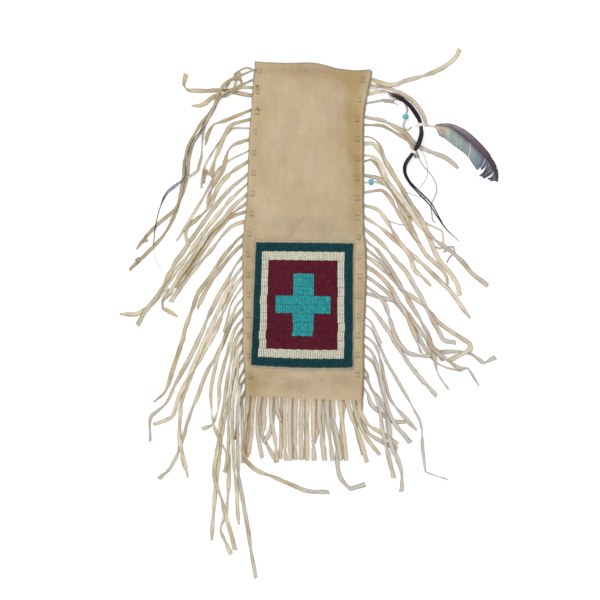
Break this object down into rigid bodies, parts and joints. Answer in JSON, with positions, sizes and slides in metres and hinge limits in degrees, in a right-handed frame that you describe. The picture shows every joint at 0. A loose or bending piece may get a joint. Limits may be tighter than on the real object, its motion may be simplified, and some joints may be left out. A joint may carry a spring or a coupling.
{
  "type": "pipe bag",
  "caption": "Long flat hide pipe bag, laced at both sides with fringe thongs, with a bead panel showing a plain cross, a cut lower fringe, a horsehair lock and a feather.",
  "frame": {"origin": "middle of the bag's body, on the flat back face that it lies on", "axes": "+X across the bag to the right seen from the front, +Y along the bag towards its mouth, +Z out of the front face"},
  "size_m": [0.4731, 0.6627, 0.0141],
  "materials": {
    "hide": "napped, smoke-tanned, with yellow and brown stains",
    "hide_back": "napped, a little greyer",
    "thong": "napped",
    "teal_beads": "opaque, glossy",
    "cream_beads": "opaque, glossy",
    "maroon_beads": "opaque, glossy",
    "turquoise_beads": "opaque, glossy",
    "pony_bead": "opaque, glossy",
    "horsehair": "sleek black hair",
    "white_thread": "matt",
    "dyed_quill": "satin, dyed dark blue",
    "feather": "soft vanes, grey-green and dusky violet"
  },
  "bodies": {
    "root": {"front_panel": "hide", "back_panel": "hide_back", "bead_backing": "hide", "teal_border": "teal_beads", "cream_border": "cream_beads", "maroon_field": "maroon_beads", "turquoise_cross": "turquoise_beads", "left_thong_01": "thong", "left_thong_02": "thong", "left_thong_03": "thong", "left_thong_04": "thong", "left_thong_05": "thong", "left_thong_06": "thong", "left_thong_07": "thong", "left_thong_08": "thong", "left_thong_09": "thong", "left_thong_10": "thong", "left_thong_11": "thong", "left_thong_12": "thong", "left_thong_13": "thong", "left_thong_14": "thong", "left_thong_15": "thong", "left_thong_16": "thong", "right_thong_01": "thong", "right_thong_02": "thong", "right_thong_03": "thong", "right_thong_04": "thong", "right_thong_05": "thong", "right_thong_06": "thong", "right_thong_07": "thong", "right_thong_08": "thong", "right_thong_09": "thong", "right_thong_10": "thong", "right_thong_11": "thong", "right_thong_12": "thong", "right_thong_13": "thong", "right_thong_14": "thong", "right_thong_15": "thong", "right_thong_16": "thong", "spare_thong": "thong", "bead_thong": "thong", "blue_quill": "dyed_quill", "pony_bead_upper": "pony_bead", "pony_bead_lower": "pony_bead", "horsehair_lock": "horsehair", "hair_tie_upper": "white_thread", "hair_tie_lower": "white_thread", "feather": "feather"}
  },
  "joints": []
}
